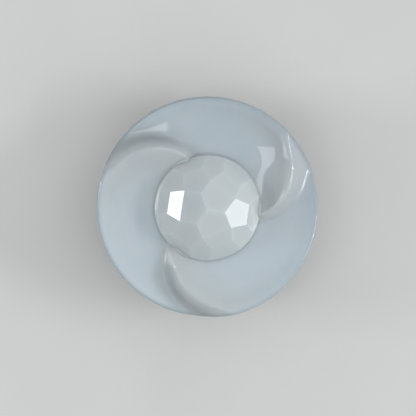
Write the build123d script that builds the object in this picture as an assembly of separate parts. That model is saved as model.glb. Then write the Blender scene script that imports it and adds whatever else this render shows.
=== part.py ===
from build123d import *
import os
from math import acos, atan2, cos, degrees, exp, hypot, radians, sin, sqrt, tan

# Sew-on shank button: a pressed opal-glass dish with a three-petal swirl, a
# faceted glass dome set in its middle, and a wire eye on the back for thread.
# Millimetres. +Z runs up through the face along the button's axis, the origin
# is the centre of the thread eye, and the thread runs through the eye along X.

# ---------------------------------------------------------------- dimensions
BUTTON_R = 11.45          # outer radius, a 36-ligne button (22.9 mm)

# wire eye: half-round wire bent double, like a split pin
WIRE_R = 0.65             # radius of the half-round section
LEG_GAP = 0.04            # between the flats of the two legs
EYE_R = 1.25              # inner radius of the thread eye
NECK_BEND_R = 0.15        # inside bend where the eye turns into the legs
FOOT_BEND_R = 0.25        # inside bend where the legs turn out
FOOT_REACH = 2.05         # end of each foot from the axis
NECK_STAND = 0.15         # straight neck below the back face

NECK_PATH_R = WIRE_R + NECK_BEND_R
NECK_Y = LEG_GAP / 2 + NECK_PATH_R
NECK_Z = sqrt((EYE_R + NECK_PATH_R) ** 2 - NECK_Y ** 2)
NECK_HALF_ANGLE = degrees(atan2(NECK_Y, NECK_Z))

BACK_Z = NECK_Z + NECK_STAND      # height of the flat back face

# shank plate let into the back
PLATE_R = 3.50
PLATE_THICK = 0.50
PLATE_SUNK = 0.10                 # plate's outer face below the back face
PLATE_HOLE_R = 0.70               # the legs turn in this hole
PLATE_SINK = 0.25                 # countersink round the hole, inside
RECESS_R = 3.65
RECESS_DEPTH = 0.75
POCKET_R = 2.40                   # room for the feet to sweep round
POCKET_DEPTH = 1.75               # from the back face
PLATE_CEMENT_IN_R = 2.45

FOOT_BEND_Z = BACK_Z + 0.45

# glass dish
FACE_LEVEL = 3.66                 # mean face level above the back face
BACK_FLAT_R = 9.60                # flat part of the back
BACK_BEVEL_RISE = 0.95
BACK_BEVEL_ROUND = 1.2
RIM_ROLL_WIDTH = 0.60             # rounding of the face towards the rim
RIM_ROLL_DROP = 0.35

# swirl: three equal petals. Each one starts at a crease, climbs a short steep
# side to a rounded crest, and falls slowly to the next petal's crease. Levels
# are in button radii, as [at 0.5 R, linear, square] of q = (r / R - 0.5) / 0.5.
PETALS = 3
RELIEF = 0.64                     # overall relief factor
CREASE_CIRCLE = 1.10              # crease: circle through the axis, of this
CREASE_DIR = 46.0                 #   diameter (in button radii), pointing here
CREASE_LEAD = 0.5                 # degrees the foot runs ahead of the crease
CREST_CIRCLE = 0.930              # crest: the same, a little smaller
CREST_DIR = 52.0
CREST_JOIN = 0.885                # beyond this radius the crest joins the rim
CREST_JOIN_SPAN = 0.13
FOOT_LEVEL = (-0.066, 0.059, -0.163)
SHOULDER_LEVEL = (0.048, -0.050, 0.135)
RIDGE_HEIGHT = 0.105              # crest above the shoulder, at its highest
RIDGE_AT, RIDGE_SPREAD = 0.71, 0.173
RIDGE_BACK = 12.5                 # degrees at 1 R, fall behind the crest
FALL_POWER = (1.20, 0.50)
FLANK_FOOT, FLANK_TOP = 0.34, 0.27   # shares of the flank that round into the crease and the crest
RELIEF_FROM, RELIEF_FULL = 0.26, 0.60  # the swirl starts under the dome and has its full height here

# dome seat in the dish
SEAT_R = 5.45
SEAT_BELOW_FACE = 0.90

# faceted dome
DOME_R = 5.40
DOME_SPHERE_R = 5.90              # the facets touch this sphere, or very nearly
DOME_TWIST = -8.4                 # azimuth of the first pentagon facet
# tilt from the axis, and distance from the dome's centre in sphere radii
FACET_TOP = (19.75, 1.0)          # three roof-shaped top facets
FACET_PENT = (35.5, 0.998)        # second row's pentagons
FACET_QUAD = (34.9, 0.995)        # second row's quads
FACET_SIDE = (44.6, 1.007)        # kites between pentagons and quads
FACET_LOW_PENT = (52.65, 1.0)     # lowest row, below the pentagons
FACET_LOW_QUAD = (47.7, 1.0)      #   below the quads
GIRDLE_ABOVE_FACE = 0.15          # lowest point of the girdle's upper edge
DOME_CEMENT_THICK = 0.12
DOME_CEMENT_RISE = 0.50           # cement squeezed up round the girdle

FACE_Z = BACK_Z + FACE_LEVEL
SEAT_Z = FACE_Z - SEAT_BELOW_FACE
DOME_BOTTOM_Z = SEAT_Z + DOME_CEMENT_THICK
DOME_CENTRE_Z = (FACE_Z + GIRDLE_ABOVE_FACE
                 - (DOME_SPHERE_R - DOME_R * sin(radians(FACET_LOW_PENT[0])))
                 / cos(radians(FACET_LOW_PENT[0])))


# ------------------------------------------------------------ swirl function
def smooth(a, b, x):
    t = min(max((x - a) / (b - a), 0.0), 1.0)
    return t * t * (3 - 2 * t)


def flank(t):
    """Rise along the flank, 0 to 1: rounded foot, straight slope, rounded top."""
    a, b = FLANK_FOOT, FLANK_TOP
    low, high = min(t / a, 1.0), max((t - 1 + b) / b, 0.0)
    u = a * (low ** 3 - low ** 4 / 2) + max(t - a, 0.0) - b * (high ** 3 - high ** 4 / 2)
    return u / (1 - a / 2 - b / 2)


def petal_height(x, y):
    """Height of the swirl above the mean face level, in millimetres."""
    r = hypot(x, y)
    rho = min(max(r / BUTTON_R, 0.42), 1.05)
    q = (rho - 0.5) / 0.5
    crease = CREASE_DIR - degrees(acos(rho / CREASE_CIRCLE))
    foot_at = crease - CREASE_LEAD * (1 - smooth(0.82, 1.0, rho))
    crest_at = CREST_DIR - degrees(acos(min(rho, CREST_JOIN) / CREST_CIRCLE))
    over = min(max(rho - CREST_JOIN, 0.0), CREST_JOIN_SPAN)
    slope = degrees(1 / sqrt(CREST_CIRCLE ** 2 - CREST_JOIN ** 2))
    crest_at += slope * over * (1 - over / (2 * CREST_JOIN_SPAN))
    foot = FOOT_LEVEL[0] + FOOT_LEVEL[1] * q + FOOT_LEVEL[2] * q * q
    shoulder = SHOULDER_LEVEL[0] + SHOULDER_LEVEL[1] * q + SHOULDER_LEVEL[2] * q * q
    ridge = RIDGE_HEIGHT * exp(-((rho - RIDGE_AT) / RIDGE_SPREAD) ** 2)
    step = 360.0 / PETALS
    turn = (degrees(atan2(y, x)) - foot_at) % step
    rise = crest_at - foot_at
    if turn < rise:
        h = foot + (shoulder + ridge - foot) * flank(turn / rise)
    else:
        t = (turn - rise) / (step - rise)
        back = (turn - rise) * rho / RIDGE_BACK
        fall = 1 - t ** (FALL_POWER[0] + FALL_POWER[1] * q)
        h = foot + (shoulder - foot) * fall + ridge * exp(-back * back)
    h *= BUTTON_R * RELIEF * smooth(RELIEF_FROM, RELIEF_FULL, rho)
    roll = max(r - (BUTTON_R - RIM_ROLL_WIDTH), 0.0) / RIM_ROLL_WIDTH
    return h - RIM_ROLL_DROP * min(roll, 1.6) ** 2


# ------------------------------------------------------------------ helpers
def turned(points):
    """A solid of revolution about Z from (radius, height) points."""
    wire = Polyline(*[(r, 0, z) for r, z in points], close=True)
    return revolve(make_face(wire), Axis.Z)


def half_round(flat_a, flat_b, crown):
    """Half-round wire section from the two ends of its flat and its crown."""
    edges = [Edge.make_line(flat_a, flat_b),
             Edge.make_three_point_arc(flat_b, crown, flat_a)]
    return Face(Wire(edges))


# --------------------------------------------------------------- swirl dish
# The relief is lofted through radial sections, one third of a turn at a time.
SECTIONS, SECTION_POINTS = 30, 16
SECTION_IN, SECTION_OUT = 0.42, 1.05      # radii of a section, in button radii
SECTION_START = 70.0                      # azimuth where the first third starts


def section(azimuth):
    """Closed radial section under the relief at one azimuth."""
    a = radians(azimuth)
    radii = [BUTTON_R * (SECTION_IN + (SECTION_OUT - SECTION_IN) * i / SECTION_POINTS)
             for i in range(SECTION_POINTS + 1)]
    top = [Vector(r * cos(a), r * sin(a), FACE_Z + petal_height(r * cos(a), r * sin(a)))
           for r in radii]
    low = [Vector(p.X, p.Y, FACE_Z - 6.0) for p in (top[-1], top[0])]
    return Wire([Edge.make_spline(top), Edge.make_line(top[-1], low[0]),
                 Edge.make_line(low[0], low[1]), Edge.make_line(low[1], top[0])])


third = Solid.make_loft([section(SECTION_START + 360 / PETALS * i / SECTIONS)
                         for i in range(SECTIONS + 1)], ruled=False)
under_relief = third + third.rotate(Axis.Z, 120) + third.rotate(Axis.Z, 240)

top_z = FACE_Z + 4
blank = turned([(0, BACK_Z), (BACK_FLAT_R, BACK_Z),
                (BUTTON_R, BACK_Z + BACK_BEVEL_RISE), (BUTTON_R, top_z), (0, top_z)])
bevel_edge = [e for e in blank.edges()
              if abs(e.center().Z - BACK_Z) < 1e-4 and e.bounding_box().size.X > 2 * BACK_FLAT_R - 0.1]
blank = fillet(bevel_edge, BACK_BEVEL_ROUND)

swirl_dish = blank & under_relief
swirl_dish -= Pos(0, 0, SEAT_Z) * Cylinder(SEAT_R, 8, align=(Align.CENTER, Align.CENTER, Align.MIN))
swirl_dish -= Pos(0, 0, BACK_Z - 1) * Cylinder(RECESS_R, RECESS_DEPTH + 1, align=(Align.CENTER, Align.CENTER, Align.MIN))
swirl_dish -= Pos(0, 0, BACK_Z - 1) * Cylinder(POCKET_R, POCKET_DEPTH + 1, align=(Align.CENTER, Align.CENTER, Align.MIN))

# -------------------------------------------------------------- faceted dome
dome = Pos(0, 0, DOME_BOTTOM_Z) * Cylinder(DOME_R, 9, align=(Align.CENTER, Align.CENTER, Align.MIN))
facets = []
for k in range(3):
    facets.append((DOME_TWIST + 60 + 120 * k, *FACET_TOP))
    facets.append((DOME_TWIST + 120 * k, *FACET_PENT))
    facets.append((DOME_TWIST + 60 + 120 * k, *FACET_QUAD))
for k in range(12):
    low = {0: FACET_LOW_PENT, 2: FACET_LOW_QUAD}.get(k % 4, FACET_SIDE)
    facets.append((DOME_TWIST + 30 * k, *low))
for azimuth, tilt, distance in facets:
    a, t = radians(azimuth), radians(tilt)
    n = Vector(sin(t) * cos(a), sin(t) * sin(a), cos(t))
    on = Vector(0, 0, DOME_CENTRE_Z) + n * (DOME_SPHERE_R * distance)
    dome -= Plane(origin=on, z_dir=n) * Box(40, 40, 20, align=(Align.CENTER, Align.CENTER, Align.MIN))
bottom_edge = [e for e in dome.edges() if abs(e.center().Z - DOME_BOTTOM_Z) < 1e-4]
faceted_dome = chamfer(bottom_edge, 0.10)

dome_cement = turned([(0, SEAT_Z), (SEAT_R, SEAT_Z), (SEAT_R, SEAT_Z + DOME_CEMENT_RISE),
                      (DOME_R, SEAT_Z + DOME_CEMENT_RISE - 0.06), (DOME_R, DOME_BOTTOM_Z + 0.10),
                      (DOME_R - 0.10, DOME_BOTTOM_Z), (0, DOME_BOTTOM_Z)])

# ------------------------------------------------------- shank plate, cement
plate_low = BACK_Z + PLATE_SUNK
plate_top = plate_low + PLATE_THICK
shank_plate = turned([
    (PLATE_HOLE_R, plate_low), (PLATE_R - 0.12, plate_low), (PLATE_R, plate_low + 0.12),
    (PLATE_R, plate_top), (PLATE_HOLE_R + PLATE_SINK, plate_top),
    (PLATE_HOLE_R, plate_top - PLATE_SINK)])
plate_cement = turned([
    (PLATE_CEMENT_IN_R, plate_top), (PLATE_R, plate_top), (PLATE_R, plate_low + 0.15),
    (RECESS_R, plate_low + 0.10), (RECESS_R, BACK_Z + RECESS_DEPTH),
    (PLATE_CEMENT_IN_R, BACK_Z + RECESS_DEPTH)])

# ---------------------------------------------------------------- shank loop
flat = LEG_GAP / 2
foot_path_r = WIRE_R + FOOT_BEND_R
leg = half_round((-WIRE_R, flat, NECK_Z), (WIRE_R, flat, NECK_Z), (0, flat + WIRE_R, NECK_Z))
neck = revolve(leg, Axis((0, NECK_Y, NECK_Z), (1, 0, 0)), 90 - NECK_HALF_ANGLE)
straight = Solid.extrude(leg, Vector(0, 0, FOOT_BEND_Z - NECK_Z))
leg_top = Pos(0, 0, FOOT_BEND_Z - NECK_Z) * leg
foot_bend = revolve(leg_top, Axis((0, flat + foot_path_r, FOOT_BEND_Z), (-1, 0, 0)), 90)
foot_z = FOOT_BEND_Z + foot_path_r
foot_face = half_round((-WIRE_R, flat + foot_path_r, foot_z), (WIRE_R, flat + foot_path_r, foot_z),
                       (0, flat + foot_path_r, foot_z - WIRE_R))
foot = Solid.extrude(foot_face, Vector(0, FOOT_REACH - flat - foot_path_r, 0))
one_side = [neck, straight, foot_bend, foot]
eye_face = half_round((-WIRE_R, 0, EYE_R), (WIRE_R, 0, EYE_R), (0, 0, EYE_R + WIRE_R))
eye_start = eye_face.rotate(Axis.X, -NECK_HALF_ANGLE)
eye = revolve(eye_start, Axis((0, 0, 0), (-1, 0, 0)), 360 - 2 * NECK_HALF_ANGLE)
shank_loop = eye
for piece in one_side:
    shank_loop = shank_loop + piece
for piece in one_side:
    shank_loop = shank_loop + piece.mirror(Plane.XZ)

# ------------------------------------------------------------------- export
os.makedirs("parts", exist_ok=True)
for name, shape in (
    ("swirl_dish", swirl_dish),
    ("faceted_dome", faceted_dome),
    ("dome_cement", dome_cement),
    ("shank_plate", shank_plate),
    ("plate_cement", plate_cement),
    ("shank_loop", shank_loop),
):
    export_step(shape, f"parts/{name}.step")
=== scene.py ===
"""Glass button: a round opal dish pressed with a three-petal swirl, a faceted dome cemented in
its middle, and a brass shank behind.

The button's axis is Z through the origin, its face looks up +Z and its shank points down to the
floor. Lengths are in millimetres unless a comment says metres; MM turns them into metres.
"""
import bpy
import bmesh
import math
import numpy as np
from mathutils import Vector, Matrix


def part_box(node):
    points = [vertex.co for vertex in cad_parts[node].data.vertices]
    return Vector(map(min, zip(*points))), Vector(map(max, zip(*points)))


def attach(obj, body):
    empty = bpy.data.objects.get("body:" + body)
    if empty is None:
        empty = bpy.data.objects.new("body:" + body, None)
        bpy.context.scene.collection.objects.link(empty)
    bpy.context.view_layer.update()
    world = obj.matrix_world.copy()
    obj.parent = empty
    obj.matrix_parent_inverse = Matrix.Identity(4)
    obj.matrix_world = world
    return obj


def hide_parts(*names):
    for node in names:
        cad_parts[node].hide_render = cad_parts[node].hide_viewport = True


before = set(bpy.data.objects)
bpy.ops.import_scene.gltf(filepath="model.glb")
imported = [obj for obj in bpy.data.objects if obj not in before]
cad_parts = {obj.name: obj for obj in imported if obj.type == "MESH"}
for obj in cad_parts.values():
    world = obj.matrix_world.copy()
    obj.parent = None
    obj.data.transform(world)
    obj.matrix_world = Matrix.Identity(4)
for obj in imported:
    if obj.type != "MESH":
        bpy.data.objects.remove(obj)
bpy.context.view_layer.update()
MM = 0.001

# ------------------------------------------------------------------ sizes
dish_low, dish_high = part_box("swirl_dish")
dome_low, dome_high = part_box("faceted_dome")
loop_low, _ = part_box("shank_loop")
BUTTON_R = (dish_high.x - dish_low.x) / 2 / MM
BACK_Z = dish_low.z / MM
DOME_R = (dome_high.x - dome_low.x) / 2 / MM
DOME_BOTTOM_Z = dome_low.z / MM
FACE_Z = BACK_Z + 3.66          # mean level of the swirled face

# swirl: circles and radii in button radii, directions in degrees
PETALS = 3
PETAL_STEP = 360.0 / PETALS
RELIEF = 0.64                   # scale of all the levels below
CREASE_CIRCLE, CREASE_DIR, CREASE_LEAD = 1.10, 46.0, 0.5
CREST_CIRCLE, CREST_DIR = 0.930, 52.0
CREST_JOIN, CREST_JOIN_SPAN = 0.885, 0.13    # where the crest leaves its circle and straightens
# levels as polynomials (constant, linear, square) of the radius
FOOT_LEVEL = (-0.066, 0.059, -0.163)
SHOULDER_LEVEL = (0.048, -0.050, 0.135)
FALL_POWER = (1.20, 0.50)       # power of the fall behind the crest
RIDGE_HEIGHT, RIDGE_AT, RIDGE_SPREAD = 0.105, 0.71, 0.173
RIDGE_BACK = 12.5               # width of the ridge behind the crest, degrees x button radii
FLANK_FOOT, FLANK_TOP = 0.34, 0.27       # shares of the flank rounded at the foot and the top
RELIEF_FROM, RELIEF_FULL = 0.26, 0.60    # radii where the swirl starts and is at full height
CREST_ACROSS = 0.34             # place of the crest across a petal, 0 to 1

# dish
SEAT_R, SEAT_FILLET = 5.45, 0.07
SEAT_Z = FACE_Z - 0.90
SEAT_FLOOR_RADII = (0.6, 2.0, 3.6, SEAT_R - 0.25, SEAT_R)
RIM_FILLET = 0.42
RELIEF_INNER_R = SEAT_R + SEAT_FILLET
RELIEF_OUTER_R = BUTTON_R - RIM_FILLET
RELIEF_RINGS = 76
BACK_FLAT_R, BEVEL_RISE = 9.60, 0.95
BEVEL_ANGLE = math.atan2(BEVEL_RISE, BUTTON_R - BACK_FLAT_R)
WALL_FOOT_Z = BACK_Z + BEVEL_RISE + 0.22
WALL_FOOT_FILLET = 0.35         # between the wall and the bevel
BEVEL_END_FILLET = 2.2          # between the bevel and the flat back
RECESS_R, RECESS_Z, RECESS_FILLET = 3.65, BACK_Z + 0.75, 0.10
POCKET_R, POCKET_Z = 2.40, BACK_Z + 1.75

# dome: each class of facet has (tilt from the axis in degrees, distance in sphere radii)
DOME_SPHERE_R = 5.90
DOME_TWIST = -8.4
FACET_TOP = (19.75, 1.0)
FACET_PENTAGON = (35.5, 0.998)
FACET_QUAD = (34.9, 0.995)
FACET_SIDE = (44.6, 1.007)
FACET_LOW_PENTAGON = (52.65, 1.0)
FACET_LOW_QUAD = (47.7, 1.0)
GIRDLE_Z = FACE_Z + 0.15
# the low pentagons meet the girdle's wall at the girdle's height
LOW_TILT = math.radians(FACET_LOW_PENTAGON[0])
DOME_CENTRE_Z = GIRDLE_Z - (DOME_SPHERE_R - DOME_R * math.sin(LOW_TILT)) / math.cos(LOW_TILT)
DOME_BLANK_HEIGHT = 9.0
DOME_BLANK_SEGMENTS = 180
FACET_EDGE_BEVEL = 0.05
FACET_SWELL = 0.10              # bump distance that shades the facets slightly convex

# cement bead
BEAD_COLUMNS = 720
BEAD_FOOT_R = SEAT_R + 0.11
BEAD_OVERLAP = 0.012            # how far the cement reaches into the glass beside it
BEAD_SKIN = 0.001               # offset of its level faces from the seat and the dome's bottom
BEAD_SKIRT = 0.16               # how far its sides go down below the relief
BEAD_FLAT_RADII = (0.6, 3.0)


# ------------------------------------------------------------------ shared helpers
def smoothstep(low, high, value):
    share = np.clip((np.asarray(value, float) - low) / (high - low), 0, 1)
    return share * share * (3 - 2 * share)


def bell(offset, width):
    return np.exp(-(offset / width) ** 2)


def sines_cosines(degrees):
    return [(math.sin(math.radians(a)), math.cos(math.radians(a))) for a in degrees]


def direction(azimuth, elevation):
    """Unit vector from degrees: azimuth from +X towards +Y, elevation above the horizon."""
    a, e = math.radians(azimuth), math.radians(elevation)
    return Vector((math.cos(e) * math.cos(a), math.cos(e) * math.sin(a), math.sin(e)))


def scaled(colour, factor):
    return tuple(channel * factor for channel in colour)


def link_object(name, data):
    ob = bpy.data.objects.new(name, data)
    bpy.context.scene.collection.objects.link(ob)
    return ob


def make_object(name, points, faces):
    """Smooth-shaded mesh object from points in metres."""
    mesh = bpy.data.meshes.new(name)
    mesh.from_pydata([tuple(point) for point in points], [], faces)
    mesh.validate()
    mesh.polygons.foreach_set("use_smooth", [True] * len(mesh.polygons))
    mesh.update()
    return link_object(name, mesh)


def ring_at(azimuth, radius, z):
    """One ring of points at the azimuths (radians)."""
    return np.stack([radius * np.cos(azimuth), radius * np.sin(azimuth),
                     np.broadcast_to(z, azimuth.shape)], 1)


def between(start, end, share):
    return start + (end - start) * share


def closed_shell(name, rings, first_hub_z, last_hub_z, from_below=False):
    """Join rings into a skin, closed at both ends by a fan to a hub on the axis.

    from_below: the rings start on the underside, so the faces wind the other way.
    """
    count = len(rings[0])
    hub = len(rings) * count
    last = hub - count
    columns = [(i, (i + 1) % count) for i in range(count)]
    faces = []
    for start in range(0, last, count):
        end = start + count
        for i, j in columns:
            faces.append((start + i, end + i, end + j, start + j))
    for i, j in columns:
        faces.append((hub, i, j))
        faces.append((hub + 1, last + j, last + i))
    if from_below:
        faces = [(face[0], *face[:0:-1]) for face in faces]
    hubs = [[0, 0, first_hub_z], [0, 0, last_hub_z]]
    ob = make_object(name, np.concatenate([*rings, hubs]) * MM, faces)
    bm = bmesh.new()
    bm.from_mesh(ob.data)
    bmesh.ops.recalc_face_normals(bm, faces=bm.faces)
    bm.to_mesh(ob.data)
    bm.free()
    ob.data.update()
    return ob


# ------------------------------------------------------------------ swirl
def flank_rise(share):
    """Rise along the flank, 0 to 1: rounded foot, straight slope, rounded top."""
    def eased(t):
        return t ** 3 - t ** 4 / 2

    share = np.clip(share, 0, 1)
    rise = (FLANK_FOOT * eased(np.minimum(share / FLANK_FOOT, 1))
            + np.maximum(share - FLANK_FOOT, 0)
            - FLANK_TOP * eased(np.maximum((share - 1 + FLANK_TOP) / FLANK_TOP, 0)))
    return rise / (1 - FLANK_FOOT / 2 - FLANK_TOP / 2)


def polynomial(coefficients, x):
    return sum(factor * x ** power for power, factor in enumerate(coefficients))


def swirl(radius, across):
    """Azimuth (degrees, first petal) and height over the mean face, at a radius in button radii.

    across: 0 at the crease, CREST_ACROSS at the crest, 1 at the next crease.
    """
    radius = np.asarray(radius, float)
    held = np.clip(radius, 0.42, 1.05)
    outward = (held - 0.5) / 0.5

    foot_at = (CREASE_DIR - np.degrees(np.arccos(held / CREASE_CIRCLE))
               - CREASE_LEAD * (1 - smoothstep(0.82, 1.0, held)))
    crest_at = CREST_DIR - np.degrees(np.arccos(np.minimum(held, CREST_JOIN) / CREST_CIRCLE))
    beyond = np.clip(held - CREST_JOIN, 0, CREST_JOIN_SPAN)
    slope = math.degrees(1 / math.sqrt(CREST_CIRCLE ** 2 - CREST_JOIN ** 2))
    crest_at = crest_at + slope * beyond * (1 - beyond / (2 * CREST_JOIN_SPAN))

    flank_span = crest_at - foot_at
    back_span = PETAL_STEP - flank_span
    back_share = (across - CREST_ACROSS) / (1 - CREST_ACROSS)
    turn = np.where(across < CREST_ACROSS, across / CREST_ACROSS * flank_span,
                    flank_span + back_share * back_span)

    foot = polynomial(FOOT_LEVEL, outward)
    shoulder = polynomial(SHOULDER_LEVEL, outward)
    ridge = RIDGE_HEIGHT * bell(held - RIDGE_AT, RIDGE_SPREAD)
    flank = foot + (shoulder + ridge - foot) * flank_rise(turn / flank_span)
    fall = np.clip((turn - flank_span) / back_span, 0, 1) ** polynomial(FALL_POWER, outward)
    behind = np.clip(turn - flank_span, 0, None) * held
    back = foot + (shoulder - foot) * (1 - fall) + ridge * bell(behind, RIDGE_BACK)
    height = (np.where(across < CREST_ACROSS, flank, back) * BUTTON_R * RELIEF
              * smoothstep(RELIEF_FROM, RELIEF_FULL, radius))
    return foot_at + turn, height


def swirl_height_round(radius, azimuth):
    """Height of the swirl over the mean face at the azimuths (degrees) of one circle."""
    samples = 2001
    heights = np.zeros(len(azimuth))
    petal_azimuth, petal_height = swirl(np.full(samples, radius / BUTTON_R),
                                        np.linspace(0, 1, samples))
    for petal in range(PETALS):
        turn = (azimuth - petal_azimuth[0] - PETAL_STEP * petal) % 360
        inside = turn < PETAL_STEP
        heights[inside] = np.interp(turn[inside], petal_azimuth - petal_azimuth[0], petal_height)
    return heights


# ------------------------------------------------------------------ swirl dish
def dish_columns():
    """Place across the petal, and turn of the petal in degrees, of each column of vertices."""
    back_split = CREST_ACROSS + 0.30
    across = np.concatenate([
        np.linspace(0, 1, 27)[:-1] ** 1.15 * CREST_ACROSS,
        CREST_ACROSS + np.linspace(0, 1, 37)[:-1] * 0.30,
        back_split + np.linspace(0, 1, 41)[:-1] ** 0.95 * (1 - back_split)])
    return np.tile(across, PETALS), np.repeat(np.arange(PETALS) * PETAL_STEP, len(across))


COLUMN_ACROSS, COLUMN_TURN = dish_columns()


def swirl_ring(radius, lift=0.0, z=None):
    """Ring with its columns along the swirl, lifted off the relief or level at height z."""
    azimuth, height = swirl(np.full(len(COLUMN_ACROSS), radius / BUTTON_R), COLUMN_ACROSS)
    if z is None:
        z = FACE_Z + height + lift
    return ring_at(np.radians(azimuth + COLUMN_TURN), radius, z)


def seat_rings():
    """Seat floor from the middle out, its wall and the rounded lip."""
    rings = [swirl_ring(radius, z=SEAT_Z) for radius in SEAT_FLOOR_RADII]
    floor_edge = rings[-1]
    wall_top = swirl_ring(SEAT_R, lift=-SEAT_FILLET)
    rings += [between(floor_edge, wall_top, share) for share in (0.34, 0.67)]
    rings.append(wall_top)
    for sine, cosine in sines_cosines((30, 60)):
        rings.append(swirl_ring(SEAT_R + SEAT_FILLET * (1 - cosine),
                                lift=-SEAT_FILLET * (1 - sine)))
    return rings


def relief_rings():
    last = RELIEF_RINGS - 1
    return [swirl_ring(RELIEF_INNER_R + (RELIEF_OUTER_R - RELIEF_INNER_R) * i / last)
            for i in range(RELIEF_RINGS)]


def rim_rings():
    """The fillet that rolls from the relief into the wall."""
    start_z = swirl_ring(RELIEF_OUTER_R)[:, 2]
    rings = []
    for sine, cosine in sines_cosines(np.linspace(0, 90, 9)[1:]):
        ring = swirl_ring(RELIEF_OUTER_R + RIM_FILLET * sine)
        ring[:, 2] = start_z + (ring[:, 2] - start_z) * cosine - RIM_FILLET * (1 - cosine)
        rings.append(ring)
    return rings


def back_profile():
    """(radius, z) points from the foot of the wall along the back to the middle."""
    points = [(BUTTON_R - WALL_FOOT_FILLET + WALL_FOOT_FILLET * cosine,
               WALL_FOOT_Z - WALL_FOOT_FILLET * sine)
              for sine, cosine in sines_cosines(
                  np.linspace(0, 90 - math.degrees(BEVEL_ANGLE), 6)[1:])]

    # bevel, then the arc that touches both the bevel and the flat back
    bevel_r, bevel_z = points[-1]
    arc_z = BACK_Z + BEVEL_END_FILLET
    arc_r = bevel_r - ((bevel_z - arc_z + BEVEL_END_FILLET / math.cos(BEVEL_ANGLE))
                       / math.tan(BEVEL_ANGLE))
    arc = [(arc_r + BEVEL_END_FILLET * math.sin(angle), arc_z - BEVEL_END_FILLET * math.cos(angle))
           for angle in np.linspace(BEVEL_ANGLE, 0, 7)]
    for step in range(1, 5):
        points.append((between(bevel_r, arc[0][0], step / 5),
                       between(bevel_z, arc[0][1], step / 5)))
    points += arc

    flat_end_r = RECESS_R + RECESS_FILLET
    for step in range(1, 7):
        points.append((arc_r + (flat_end_r - arc_r) * step / 6, BACK_Z))
    for sine, cosine in sines_cosines((30, 60, 90)):
        points.append((RECESS_R + RECESS_FILLET * (1 - sine),
                       BACK_Z + RECESS_FILLET * (1 - cosine)))
    points += [
        (RECESS_R, BACK_Z + 0.45), (RECESS_R, RECESS_Z),
        (POCKET_R + 0.6, RECESS_Z), (POCKET_R, RECESS_Z),
        (POCKET_R, POCKET_Z), (0.8, POCKET_Z)]
    return points


def add_dish_attributes(ob, rings, relief_start):
    """Colour masks: fold (crest and flank), crease (painted shade at the foot of each fold) and
    edge (painted shade over the outer rim).
    """
    relief_end = relief_start + RELIEF_RINGS
    rise = np.where(
        COLUMN_ACROSS < CREST_ACROSS,
        np.sin(np.clip(COLUMN_ACROSS / CREST_ACROSS, 0, 1) * math.pi / 2 + 0.35) ** 2,
        bell(COLUMN_ACROSS - CREST_ACROSS, 0.17))
    # painted shade: darkest at the foot of each flank and on the end of the petal before it
    foot = np.maximum(bell(COLUMN_ACROSS / CREST_ACROSS - 0.34, 0.26),
                      0.42 * bell(1 - COLUMN_ACROSS, 0.055))
    masks = {"fold": [], "crease": [], "edge": []}
    for row, ring in enumerate(rings):
        # rings off the relief take the pattern of the relief ring nearest to them
        x, y, _ = rings[min(max(row, relief_start), relief_end - 1)].T
        radius = np.hypot(x, y) / BUTTON_R
        azimuth = np.degrees(np.arctan2(y, x))
        # the pattern fades out down the wall
        front = smoothstep(WALL_FOOT_Z, FACE_Z - 0.6, ring[:, 2]) if row >= relief_end else 1.0
        rim_fade = 1 - 0.55 * smoothstep(0.86, 1.0, radius)
        masks["fold"].append(0.3 + (rise * rim_fade - 0.3) * front)
        # painted shade in the creases, weakest round an azimuth of 15 degrees, on the side the
        # lights come from
        crease_shade_by_azimuth = 1 - 0.85 * bell((azimuth - 15 + 180) % 360 - 180, 48)
        masks["crease"].append(foot * smoothstep(0.42, 0.85, radius) * crease_shade_by_azimuth * front)
        # painted shade: the edge mask darkens the outer rim
        own_radius = np.hypot(ring[:, 0], ring[:, 1]) / BUTTON_R
        masks["edge"].append(smoothstep(0.945, 0.995, own_radius))
    for name, rows in masks.items():
        values = np.concatenate([*rows, [0, 0]])    # the two hubs have none
        attribute = ob.data.attributes.new(name, "FLOAT", "POINT")
        attribute.data.foreach_set("value", values.astype(np.float32))


def build_dish():
    rings = seat_rings()
    relief_start = len(rings)
    rings += relief_rings() + rim_rings()
    edge = rings[-1]
    azimuth = np.arctan2(edge[:, 1], edge[:, 0])
    wall_foot = ring_at(azimuth, BUTTON_R, WALL_FOOT_Z)
    rings += [between(edge, wall_foot, share) for share in (0.33, 0.66, 1.0)]
    rings += [ring_at(azimuth, radius, z) for radius, z in back_profile()]
    ob = closed_shell("swirl_dish_glass", rings, SEAT_Z, POCKET_Z)
    add_dish_attributes(ob, rings, relief_start)
    return ob


dish = build_dish()
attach(dish, "button")
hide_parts("swirl_dish")


# ------------------------------------------------------------------ faceted dome
def dome_facets():
    """(normal, distance from the dome's centre) of every facet."""
    facets = []
    for k in range(3):
        facets.append((60 + 120 * k, *FACET_TOP))
        facets.append((120 * k, *FACET_PENTAGON))
        facets.append((60 + 120 * k, *FACET_QUAD))
    low_facets = (FACET_LOW_PENTAGON, FACET_SIDE, FACET_LOW_QUAD, FACET_SIDE)
    for k in range(12):
        facets.append((30 * k, *low_facets[k % 4]))
    planes = []
    for azimuth, tilt, distance in facets:
        a, t = math.radians(DOME_TWIST + azimuth), math.radians(tilt)
        normal = Vector((math.sin(t) * math.cos(a), math.sin(t) * math.sin(a), math.cos(t)))
        planes.append((normal, DOME_SPHERE_R * distance))
    return planes


def surface_of(face, normals):
    """Number of the facet a face lies on, -1 for the girdle's wall, -2 for the bottom."""
    if face.normal.z < -0.9:
        return -2
    best = max(range(len(normals)), key=lambda i: face.normal.dot(normals[i]))
    return best if face.normal.dot(normals[best]) > 0.9995 else -1


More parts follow.
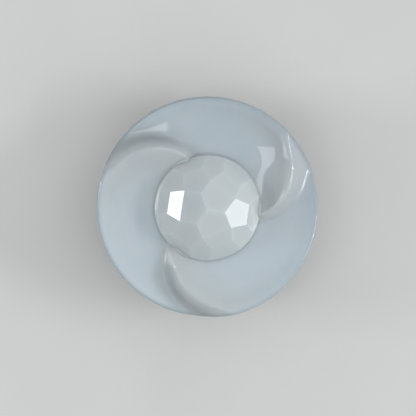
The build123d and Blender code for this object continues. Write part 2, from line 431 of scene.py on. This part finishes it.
def build_dome():
    """Cylinder cut by the facet planes, with its sharp edges softened."""
    planes = dome_facets()
    centre = Vector((0, 0, DOME_CENTRE_Z))
    bm = bmesh.new()
    bmesh.ops.create_cone(
        bm, cap_ends=True, segments=DOME_BLANK_SEGMENTS, radius1=DOME_R, radius2=DOME_R,
        depth=DOME_BLANK_HEIGHT,
        matrix=Matrix.Translation((0, 0, DOME_BOTTOM_Z + DOME_BLANK_HEIGHT / 2)))
    for normal, distance in planes:
        result = bmesh.ops.bisect_plane(
            bm, geom=bm.verts[:] + bm.edges[:] + bm.faces[:], dist=1e-6,
            plane_co=centre + normal * distance, plane_no=normal, clear_outer=True)
        cut = [part for part in result["geom_cut"] if isinstance(part, bmesh.types.BMEdge)]
        bmesh.ops.contextual_create(bm, geom=cut)
    bmesh.ops.remove_doubles(bm, verts=bm.verts, dist=1e-4)
    bmesh.ops.dissolve_degenerate(bm, edges=bm.edges, dist=1e-4)
    bm.normal_update()

    normals = [normal for normal, _ in planes]
    sharp = []
    for edge in bm.edges:
        if len(edge.link_faces) == 2:
            first, second = (surface_of(face, normals) for face in edge.link_faces)
            if first != second:
                sharp.append(edge)
    bmesh.ops.bevel(bm, geom=sharp, offset=FACET_EDGE_BEVEL, segments=4, profile=0.5,
                    affect="EDGES", clamp_overlap=True)
    bm.normal_update()
    for face in bm.faces:
        face.smooth = True
    for vert in bm.verts:
        vert.co = vert.co * MM
    mesh = bpy.data.meshes.new("faceted_dome_glass")
    bm.to_mesh(mesh)
    bm.free()
    ob = link_object("faceted_dome_glass", mesh)
    # large faces set the normals, so the facets stay flat and only the bevels bend
    weighted = ob.modifiers.new("facet_normals", "WEIGHTED_NORMAL")
    weighted.mode = "FACE_AREA"
    weighted.weight = 60
    weighted.keep_sharp = False
    return ob


dome = build_dome()
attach(dome, "button")
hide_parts("faceted_dome")


# ------------------------------------------------------------------ cement bead round the dome
def build_bead():
    """Cement under the dome, with a small meniscus from the dish's glass up the girdle."""
    degrees = np.arange(BEAD_COLUMNS) * 360.0 / BEAD_COLUMNS
    azimuth = np.radians(degrees)
    glass = FACE_Z + swirl_height_round(BEAD_FOOT_R, degrees)
    climb = np.clip(GIRDLE_Z - 0.05 - glass, 0.02, 0.12)
    wobble = 0.006 * np.sin(azimuth * 7 + 1.0) + 0.004 * np.sin(azimuth * 17 + 0.4)
    top = glass + climb + wobble
    # where the cement stands above the girdle it follows the dome's facets inwards
    over = np.clip(top - GIRDLE_Z, 0, None)
    inner_r = DOME_R - BEAD_OVERLAP - over / 2.2 - 0.06 * smoothstep(0.0, 0.03, over)
    seat_r = SEAT_R + BEAD_OVERLAP
    bottom_z = SEAT_Z + BEAD_SKIN
    under_dome_z = DOME_BOTTOM_Z - BEAD_SKIN
    meniscus_z = glass + 0.004

    profile = [(radius, bottom_z) for radius in (*BEAD_FLAT_RADII, seat_r)]
    profile += [(seat_r, glass - BEAD_SKIRT), (BEAD_FOOT_R, glass - 0.05),
                (BEAD_FOOT_R, glass - 0.004)]
    for sine, cosine in sines_cosines(np.linspace(0, 90, 7)[1:]):
        profile.append((between(BEAD_FOOT_R, inner_r, sine),
                        between(meniscus_z, top, 1 - cosine)))
    profile.append((inner_r, glass - BEAD_SKIRT))
    profile += [(radius, under_dome_z) for radius in (inner_r, *BEAD_FLAT_RADII[::-1])]
    rings = [ring_at(azimuth, radius, z) for radius, z in profile]
    return closed_shell("dome_cement_bead", rings, bottom_z, under_dome_z, from_below=True)


bead = build_bead()
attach(bead, "button")
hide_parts("dome_cement")


# ------------------------------------------------------------------ shader helpers
class Nodes:
    """Short ways to add nodes; an input may be a value or another node's output."""

    def __init__(self, tree):
        self.tree = tree
        self.coordinates = self.add("ShaderNodeTexCoord").outputs

    def add(self, kind, inputs=None, **settings):
        node = self.tree.nodes.new(kind)
        for name, value in settings.items():
            setattr(node, name, value)
        for key, value in (inputs or {}).items():
            socket = node.inputs[key]
            if isinstance(value, bpy.types.NodeSocket):
                self.tree.links.new(value, socket)
            elif socket.type == "RGBA":
                socket.default_value = (*value, 1)
            else:
                socket.default_value = value
        return node

    def attribute(self, name):
        return self.add("ShaderNodeAttribute", attribute_name=name).outputs["Fac"]

    def stretched(self, scale, rotation=(0, 0, 0)):
        return self.add("ShaderNodeMapping", {
            "Vector": self.coordinates["Object"], "Scale": scale, "Rotation": rotation}).outputs[0]

    def noise(self, vector, scale, detail, roughness=0.5, distortion=0.0):
        return self.add("ShaderNodeTexNoise", {
            "Vector": vector, "Scale": scale, "Detail": detail, "Roughness": roughness,
            "Distortion": distortion}).outputs["Fac"]

    def ramp(self, factor, stops):
        """Colour ramp from (position, colour) stops."""
        node = self.add("ShaderNodeValToRGB", {"Fac": factor})
        elements = node.color_ramp.elements
        for element, (position, colour) in zip(elements, (stops[0], stops[-1])):
            element.position = position
            element.color = (*colour, 1)
        for position, colour in stops[1:-1]:
            elements.new(position).color = (*colour, 1)
        return node.outputs["Color"]

    def mix(self, factor, first, second, blend="MIX"):
        # sockets 6, 7 and output 2 are the colour ones
        return self.add("ShaderNodeMix", {0: factor, 6: first, 7: second},
                        data_type="RGBA", blend_type=blend).outputs[2]

    def math(self, operation, *values, clamp=False):
        return self.add("ShaderNodeMath", dict(enumerate(values)),
                        operation=operation, use_clamp=clamp).outputs[0]

    def vector_math(self, operation, first, second):
        return self.add("ShaderNodeVectorMath", {0: first, 1: second},
                        operation=operation).outputs["Value"]

    def remap(self, value, source, target, interpolation="LINEAR"):
        return self.add("ShaderNodeMapRange", {
            "Value": value, "From Min": source[0], "From Max": source[1],
            "To Min": target[0], "To Max": target[1]},
            interpolation_type=interpolation).outputs["Result"]

    def bump(self, height, strength, distance, normal=None):
        inputs = {"Height": height, "Strength": strength, "Distance": distance}
        if normal is not None:
            inputs["Normal"] = normal
        return self.add("ShaderNodeBump", inputs).outputs[0]

    def principled(self, inputs):
        return self.add("ShaderNodeBsdfPrincipled", inputs).outputs[0]


class MaterialNodes(Nodes):
    def __init__(self, name):
        self.material = bpy.data.materials.new(name)
        self.material.use_nodes = True
        self.material.node_tree.nodes.clear()
        super().__init__(self.material.node_tree)
        self.place = self.coordinates["Object"]

    def finish(self, shader):
        self.add("ShaderNodeOutputMaterial", {"Surface": shader})
        return self.material


# ------------------------------------------------------------------ materials
def dish_colour(m, cloud, cool, warm):
    """Cool flats, warm folds, and painted shade that darkens the outer rim and the creases."""
    cloudy = m.math("SUBTRACT", cloud, 0.5)
    fold = m.math("MULTIPLY_ADD", cloudy, 0.35, m.attribute("fold"), clamp=True)
    base = m.mix(fold, cool, warm)
    # painted shade: the outer rim darkened towards 70 per cent of the cool colour
    base = m.mix(m.attribute("edge"), base, scaled(cool, 0.70))
    # painted shade in the creases, pulled towards half the warm colour
    return m.mix(m.math("MULTIPLY", m.attribute("crease"), 0.55), base, scaled(warm, 0.50))


def painted_side_shade(m, base):
    """Painted shade: the dish is darker towards an azimuth of 62 degrees and lighter on the
    opposite side.
    """
    across = m.vector_math("DOT_PRODUCT", m.place, direction(azimuth=62, elevation=0))
    share = m.remap(across, source=(-0.011, 0.010), target=(0.0, 1.0))
    side_shade = m.ramp(share, [(0.0, (1.05, 1.05, 1.04)), (0.5, (1.0, 1.0, 1.0)),
                            (1.0, (0.90, 0.905, 0.91))])
    return m.mix(1.0, base, side_shade, "MULTIPLY")


def opal_glass(name, cool, warm, on_dish, roughness, subsurface, subsurface_scale):
    """Glossy, slightly translucent pressed opal glass, for the dish or for the dome."""
    m = MaterialNodes(name)
    # milky clouds drawn out into streaks
    cloud = m.noise(m.stretched((1.0, 1.0, 2.2)), scale=190, detail=4, roughness=0.55,
                    distortion=0.8)
    if on_dish:
        base = dish_colour(m, cloud, cool, warm)
    else:
        base = m.mix(m.remap(cloud, source=(0.35, 0.65), target=(0.25, 0.75)), cool, warm)
    tint = m.ramp(cloud, [(0.30, (0.955, 0.965, 0.975)), (0.5, (1, 1, 1)), (0.72, (1, 1, 1))])
    base = m.mix(1.0, base, tint, "MULTIPLY")
    # painted shade across the dish, darker towards an azimuth of 62 degrees
    if on_dish:
        base = painted_side_shade(m, base)

    # small pale specks in some of the cells
    cells = m.add("ShaderNodeTexVoronoi", {"Vector": m.place, "Scale": 620.0, "Randomness": 1.0},
                  feature="F1").outputs
    dot = m.remap(cells["Distance"], source=(0.035, 0.075), target=(1.0, 0.0))
    picked = m.remap(cells["Color"], source=(0.80, 0.84), target=(0.0, 1.0))
    specks = m.math("MULTIPLY", dot, picked, clamp=True)
    base = m.mix(m.math("MULTIPLY", specks, 0.10), base, (0.80, 0.82, 0.83))

    # polish with faint haze and hairline scratches
    haze = m.noise(m.place, scale=120, detail=3, roughness=0.6)
    haze_roughness = m.remap(haze, source=(0.3, 0.75), target=roughness)
    scratch = m.noise(m.stretched((900, 60, 60), rotation=(0, 0, 0.5)), scale=1.0, detail=2,
                      distortion=0.3)
    scratch_roughness = m.remap(scratch, source=(0.70, 0.76), target=(0.0, 0.05))

    # soft waviness and tiny pits, on the dome over slightly convex facets
    wave = m.noise(m.place, scale=260, detail=2, distortion=0.2)
    normal = None
    if not on_dish:
        from_centre = m.vector_math("DISTANCE", m.place, (0, 0, DOME_CENTRE_Z * MM))
        normal = m.bump(m.math("MULTIPLY", from_centre, -1.0), strength=1.0,
                        distance=FACET_SWELL)
    normal = m.bump(wave, strength=0.10, distance=0.00008, normal=normal)
    normal = m.bump(m.math("SUBTRACT", 0.0, specks), strength=0.25, distance=0.00002,
                    normal=normal)
    return m.finish(m.principled({
        "Base Color": base,
        "Roughness": m.math("ADD", haze_roughness, scratch_roughness, clamp=True),
        "Normal": normal,
        "IOR": 1.52, "Specular IOR Level": 0.5,
        "Subsurface Weight": subsurface, "Subsurface Scale": subsurface_scale,
        "Subsurface Radius": (0.85, 1.0, 1.15), "Subsurface Anisotropy": 0.0,
        "Coat Weight": 0.25, "Coat Roughness": 0.03, "Coat IOR": 1.5}))


def turned_lines(m):
    """Fine rings round the axis."""
    x, y, _ = m.add("ShaderNodeSeparateXYZ", {0: m.place}).outputs
    squares = m.math("ADD", m.math("MULTIPLY", x, x), m.math("MULTIPLY", y, y))
    radius = m.math("MULTIPLY", m.math("SQRT", squares), 6000)
    vector = m.add("ShaderNodeCombineXYZ", {0: radius}).outputs[0]
    return m.noise(vector, scale=1.6, detail=3, roughness=0.6)


def drawn_lines(m):
    """Fine lines, closest together along X."""
    return m.noise(m.stretched((9000, 700, 500)), scale=1.0, detail=3, roughness=0.6)


def brass(name, colour, dark, make_lines, tarnish):
    """Tarnished brass with fine tool lines."""
    m = MaterialNodes(name)
    lines = make_lines(m)
    stain = m.noise(m.place, scale=420, detail=5, roughness=0.62, distortion=0.6)
    spots = m.noise(m.place, scale=1500, detail=2)
    base = m.mix(m.remap(stain, source=(0.42, 0.70), target=(0.0, tarnish)), colour, dark)
    base = m.mix(m.remap(spots, source=(0.66, 0.74), target=(0.0, 0.5)), base,
                 scaled(dark, 0.45))
    base = m.mix(m.remap(lines, source=(0.35, 0.65), target=(0.0, 0.22)), base,
                 scaled(colour, 0.7))
    stain_roughness = m.remap(stain, source=(0.35, 0.7), target=(0.20, 0.42))
    line_roughness = m.remap(lines, source=(0.3, 0.7), target=(-0.03, 0.06))
    return m.finish(m.principled({
        "Base Color": base, "Metallic": 1.0,
        "Roughness": m.math("ADD", stain_roughness, line_roughness, clamp=True),
        "Normal": m.bump(lines, strength=0.35, distance=0.00001)}))


def cement(name, dark, light, roughness):
    """Mottled, slightly translucent cement with pale bubbles."""
    m = MaterialNodes(name)
    mottle = m.noise(m.place, scale=700, detail=4, roughness=0.6, distortion=0.5)
    grain = m.noise(m.place, scale=2600, detail=2)
    bubbles = m.remap(grain, source=(0.66, 0.72), target=(0.0, 0.5))
    base = m.mix(bubbles, m.ramp(mottle, [(0.3, dark), (0.75, light)]), scaled(light, 1.25))
    return m.finish(m.principled({
        "Base Color": base, "IOR": 1.5,
        "Subsurface Weight": 0.5, "Subsurface Scale": 0.0004,
        "Roughness": m.remap(mottle, source=(0.3, 0.7), target=roughness),
        "Normal": m.bump(mottle, strength=0.5, distance=0.00003)}))


def floor_material():
    """Pale and matt; clear when seen from below."""
    m = MaterialNodes("pale_floor")
    mottle = m.noise(m.place, scale=60, detail=4)
    matt = m.principled({
        "Base Color": m.ramp(mottle, [(0.3, (0.60, 0.60, 0.59)), (0.7, (0.63, 0.63, 0.625))]),
        "Roughness": 0.75, "Specular IOR Level": 0.2})
    clear = m.add("ShaderNodeBsdfTransparent").outputs[0]
    backfacing = m.add("ShaderNodeNewGeometry").outputs["Backfacing"]
    return m.finish(m.add("ShaderNodeMixShader", {0: backfacing, 1: matt, 2: clear}).outputs[0])


def give(node, material):
    """Put a material on every slot of one of the frame's own pieces."""
    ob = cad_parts[node]
    if not ob.data.materials:
        ob.data.materials.append(material)
    for slot in ob.material_slots:
        slot.link = "OBJECT"
        slot.material = material


dish.data.materials.append(opal_glass(
    "opal_glass", cool=(0.49, 0.555, 0.595), warm=(0.48, 0.51, 0.525), on_dish=True,
    roughness=(0.03, 0.075), subsurface=0.85, subsurface_scale=0.0009))
dome.data.materials.append(opal_glass(
    "dome_opal_glass", cool=(0.50, 0.55, 0.57), warm=(0.52, 0.555, 0.565), on_dish=False,
    roughness=(0.015, 0.035), subsurface=0.8, subsurface_scale=0.0020))
give("shank_plate", brass("turned_brass", colour=(0.62, 0.45, 0.20), dark=(0.27, 0.17, 0.07),
                          make_lines=turned_lines, tarnish=0.7))
give("shank_loop", brass("drawn_brass", colour=(0.68, 0.50, 0.24), dark=(0.30, 0.19, 0.08),
                         make_lines=drawn_lines, tarnish=0.5))
bead.data.materials.append(cement(
    "dome_cement_clear", dark=(0.42, 0.47, 0.50), light=(0.48, 0.52, 0.54),
    roughness=(0.50, 0.65)))
give("plate_cement", cement("clear_cement", dark=(0.50, 0.50, 0.46), light=(0.66, 0.66, 0.62),
                            roughness=(0.25, 0.45)))


# ------------------------------------------------------------------ floor and world
FLOOR_HALF = 0.6                        # metres
FLOOR_Z = loop_low.z - 0.00002          # metres, just under the shank loop


def build_floor():
    corners = [(x * FLOOR_HALF, y * FLOOR_HALF, FLOOR_Z)
               for x, y in ((-1, -1), (1, -1), (1, 1), (-1, 1))]
    ob = make_object("floor", corners, [(0, 1, 2, 3)])
    ob.data.materials.append(floor_material())


def build_world():
    """Soft studio tent, brighter high up on the +X side."""
    world = bpy.data.worlds.new("studio")
    bpy.context.scene.world = world
    world.use_nodes = True
    w = Nodes(world.node_tree)
    towards_key = w.vector_math("DOT_PRODUCT", w.coordinates["Generated"],
                                direction(azimuth=8.0, elevation=40.0))
    strength = w.remap(towards_key, source=(-0.45, 1.0), target=(0.40, 0.94),
                       interpolation="SMOOTHSTEP")
    background = world.node_tree.nodes["Background"]
    world.node_tree.links.new(strength, background.inputs["Strength"])
    background.inputs["Color"].default_value = (0.97, 0.99, 1.0, 1)


build_floor()
build_world()

# ------------------------------------------------------------------ softboxes
LIGHT_DISTANCE = 0.5                    # metres from the middle of the face
# name, azimuth from and to, elevation from and to (degrees, seen from the button), radiance
SOFTBOXES = [
    ("left_window", 168, 188, 17, 26, 15.0),
    ("right_window", -22, -4, 13, 24, 4.4),
    ("right_strip", -14, 12, 27, 33, 18.0),
    ("over_left", 178, 204, 54, 76, 2.5),
]


def build_softbox(name, azimuth_from, azimuth_to, elevation_from, elevation_to, radiance):
    """Rectangular light that fills a range of directions seen from the button."""
    elevation = (elevation_from + elevation_to) / 2
    outward = direction((azimuth_from + azimuth_to) / 2, elevation)
    width = (2 * LIGHT_DISTANCE * math.cos(math.radians(elevation))
             * math.tan(math.radians((azimuth_to - azimuth_from) / 2)))
    height = 2 * LIGHT_DISTANCE * math.tan(math.radians((elevation_to - elevation_from) / 2))
    light = bpy.data.lights.new(name, "AREA")
    light.shape = "RECTANGLE"
    light.size = width
    light.size_y = height
    light.energy = radiance * math.pi * width * height
    ob = link_object(name, light)
    ob.location = Vector((0, 0, FACE_Z * MM)) + outward * LIGHT_DISTANCE
    ob.rotation_mode = "QUATERNION"
    ob.rotation_quaternion = outward.to_track_quat("Z", "Y")
    ob.visible_camera = False


for softbox in SOFTBOXES:
    build_softbox(*softbox)

# ------------------------------------------------------------------ camera
CAMERA_TILT = math.radians(4.0)         # from straight above towards +Y
CAMERA_DISTANCE = 0.26                  # metres
CAMERA_TARGET_Z = BACK_Z + 3.2
VIEW_WIDTH = 42.98917                   # width of the view at the target
SHIFT_RIGHT, SHIFT_DOWN = 0.05167, 0.08267
SENSOR_WIDTH = 36


def build_camera():
    """Camera almost straight above the face, with +Y up in the view."""
    data = bpy.data.cameras.new("camera")
    camera = link_object("camera", data)
    back = Vector((0, math.sin(CAMERA_TILT), math.cos(CAMERA_TILT)))
    right = Vector((1, 0, 0))
    up = Vector((0, math.cos(CAMERA_TILT), -math.sin(CAMERA_TILT)))
    camera.rotation_mode = "QUATERNION"
    camera.rotation_quaternion = Matrix((right, up, back)).transposed().to_quaternion()
    shift = right * (SHIFT_RIGHT * MM) - up * (SHIFT_DOWN * MM)
    camera.location = Vector((0, 0, CAMERA_TARGET_Z * MM)) + back * CAMERA_DISTANCE + shift
    data.sensor_width = SENSOR_WIDTH
    data.lens = SENSOR_WIDTH * CAMERA_DISTANCE / (VIEW_WIDTH * MM)
    data.clip_start = 0.01
    data.clip_end = 5
    bpy.context.scene.camera = camera


build_camera()
view = bpy.context.scene.view_settings
view.view_transform = "Standard"
view.look = "None"
view.exposure = 0.0
